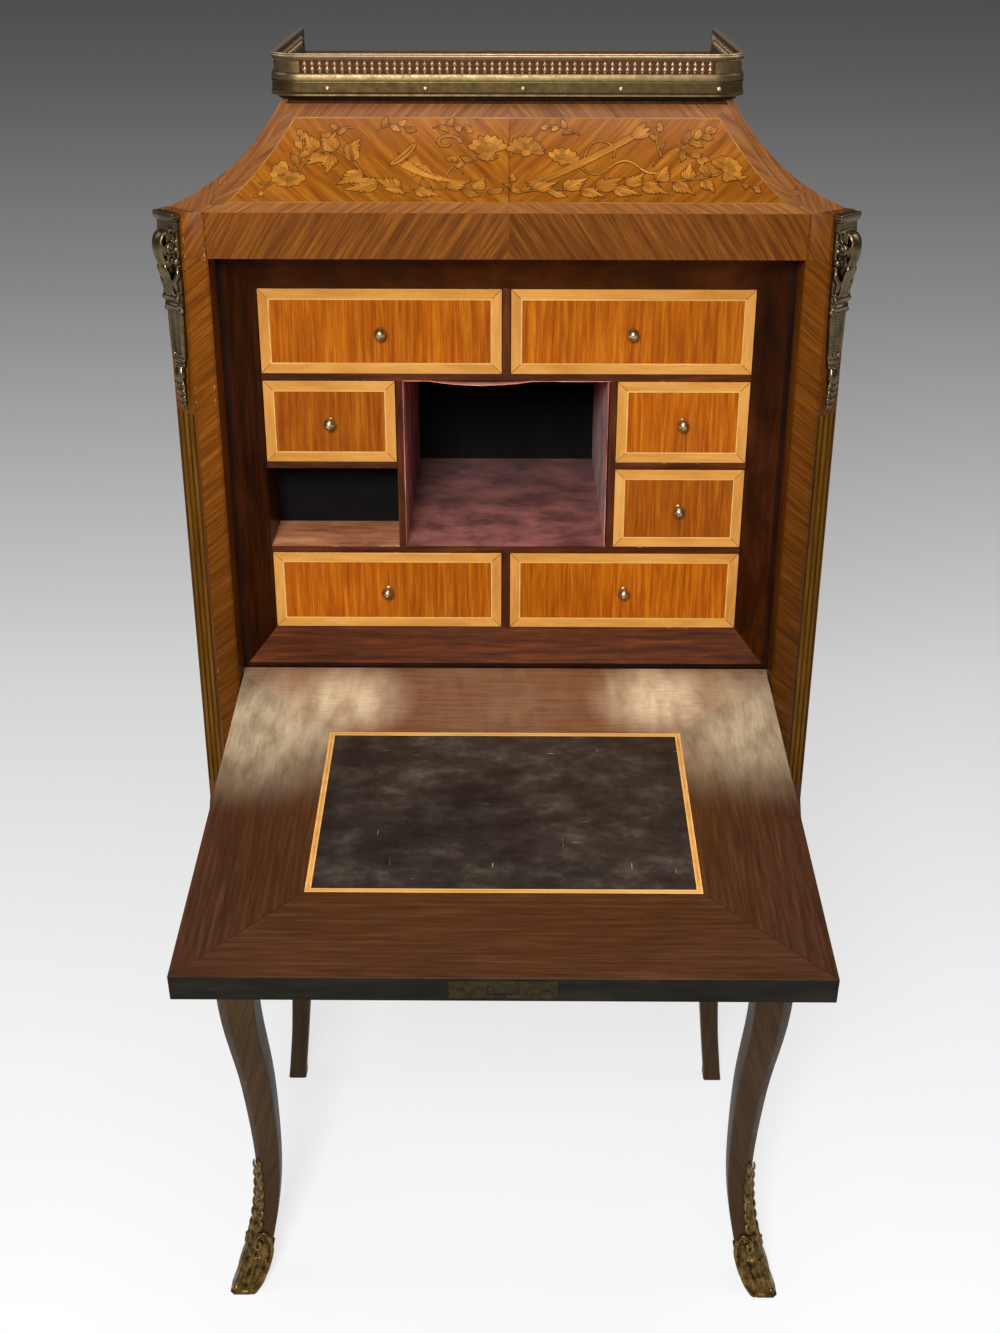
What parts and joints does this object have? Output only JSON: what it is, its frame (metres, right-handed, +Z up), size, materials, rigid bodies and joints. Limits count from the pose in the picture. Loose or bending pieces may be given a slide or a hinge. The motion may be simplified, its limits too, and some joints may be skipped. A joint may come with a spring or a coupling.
{
  "type": "fall-front writing desk",
  "caption": "Fall-front writing desk on tall curved legs, with a coved roof, a pierced brass gallery, a hinged drooping fall and small sliding drawers round a lined niche.",
  "frame": {"origin": "on the floor, under the middle of the box that the desk fills with its fall open", "axes": "+Z up, +X to the right of someone facing the desk, +Y from the front to the back"},
  "size_m": [0.6036, 0.7502, 1.2805],
  "materials": {
    "kingwood": "quarter-matched kingwood veneer, old wax polish",
    "marquetry": "satinwood ground inlaid with paler foliage, crossbanded in kingwood",
    "carcass_oak": "unpolished old oak",
    "rosewood": "dark rosewood veneer, dull wax",
    "fall_rosewood": "dark mitred rosewood, half-gloss polish, worn",
    "ebonised_wood": "blackened wood",
    "tulipwood": "tulipwood with satinwood bands and pale stringing, waxed",
    "drawer_oak": "plain oak drawer linings",
    "gallery_brass": "old brass, greenish and worn bright on the edges",
    "bronze": "dark patinated bronze",
    "gilt_bronze": "gilt bronze, worn and dirty in the hollows",
    "hinge_brass": "brushed brass",
    "knob_brass": "turned brass, tarnished",
    "steel": "plain steel",
    "black_leather": "black desk leather, scratched",
    "mauve_velvet": "worn mauve velvet",
    "pink_lining": "faded pink-red lining cloth with a frayed edge"
  },
  "bodies": {
    "case": {"front_post_left": "kingwood", "front_post_right": "kingwood", "rear_post_left": "kingwood", "rear_post_right": "kingwood", "side_panel_left": "kingwood", "side_panel_right": "kingwood", "back_panel": "carcass_oak", "top_rail": "kingwood", "bottom_rail": "kingwood", "case_bottom": "carcass_oak", "roof_front": "marquetry", "roof_left": "kingwood", "roof_right": "kingwood", "platform": "kingwood", "gallery": "gallery_brass", "gallery_band": "gallery_brass", "gallery_pins": "gallery_brass", "corner_mount_left": "bronze", "corner_mount_right": "bronze", "sabot_left": "gilt_bronze", "sabot_right": "gilt_bronze", "surround_stiles": "rosewood", "surround_rails": "rosewood", "nest_shelves": "rosewood", "nest_uprights": "rosewood", "nest_back": "ebonised_wood", "velvet_floor": "mauve_velvet", "velvet_walls": "mauve_velvet", "velvet_ceiling": "pink_lining", "jamb_hinges": "hinge_brass", "strike_plate": "hinge_brass"},
    "fall": {"fall_panel": "fall_rosewood", "writing_leather": "black_leather", "fall_hinges": "hinge_brass", "lock_case": "steel", "lock_plate": "hinge_brass", "lock_screws": "steel", "escutcheon": "hinge_brass"},
    "bolt": {"lock_bolt": "steel"},
    "top_left_drawer": {"top_left_front": "tulipwood", "top_left_box": "drawer_oak", "top_left_knob": "knob_brass"},
    "top_right_drawer": {"top_right_front": "tulipwood", "top_right_box": "drawer_oak", "top_right_knob": "knob_brass"},
    "upper_left_drawer": {"upper_left_front": "tulipwood", "upper_left_box": "drawer_oak", "upper_left_knob": "knob_brass"},
    "upper_right_drawer": {"upper_right_front": "tulipwood", "upper_right_box": "drawer_oak", "upper_right_knob": "knob_brass"},
    "lower_right_drawer": {"lower_right_front": "tulipwood", "lower_right_box": "drawer_oak", "lower_right_knob": "knob_brass"},
    "bottom_left_drawer": {"bottom_left_front": "tulipwood", "bottom_left_box": "drawer_oak", "bottom_left_knob": "knob_brass"},
    "bottom_right_drawer": {"bottom_right_front": "tulipwood", "bottom_right_box": "drawer_oak", "bottom_right_knob": "knob_brass"}
  },
  "joints": [
    {"name": "fall_hinge", "type": "hinge", "parent": "case", "child": "fall", "pos_m": [0, 0.02608, 0.72706], "axis": [-1, 0, 0], "range_deg": [0, 96.5]},
    {"name": "bolt_slide", "type": "slide", "parent": "fall", "child": "bolt", "axis": [0, -0.9936, -0.1132], "range_m": [0, 0.007]},
    {"name": "top_left_slide", "type": "slide", "parent": "case", "child": "top_left_drawer", "axis": [0, 1, 0], "range_m": [-0.17, 0]},
    {"name": "top_right_slide", "type": "slide", "parent": "case", "child": "top_right_drawer", "axis": [0, 1, 0], "range_m": [-0.17, 0]},
    {"name": "upper_left_slide", "type": "slide", "parent": "case", "child": "upper_left_drawer", "axis": [0, 1, 0], "range_m": [-0.17, 0]},
    {"name": "upper_right_slide", "type": "slide", "parent": "case", "child": "upper_right_drawer", "axis": [0, 1, 0], "range_m": [-0.17, 0]},
    {"name": "lower_right_slide", "type": "slide", "parent": "case", "child": "lower_right_drawer", "axis": [0, 1, 0], "range_m": [-0.17, 0]},
    {"name": "bottom_left_slide", "type": "slide", "parent": "case", "child": "bottom_left_drawer", "axis": [0, 1, 0], "range_m": [-0.17, 0]},
    {"name": "bottom_right_slide", "type": "slide", "parent": "case", "child": "bottom_right_drawer", "axis": [0, 1, 0], "range_m": [-0.17, 0]}
  ]
}
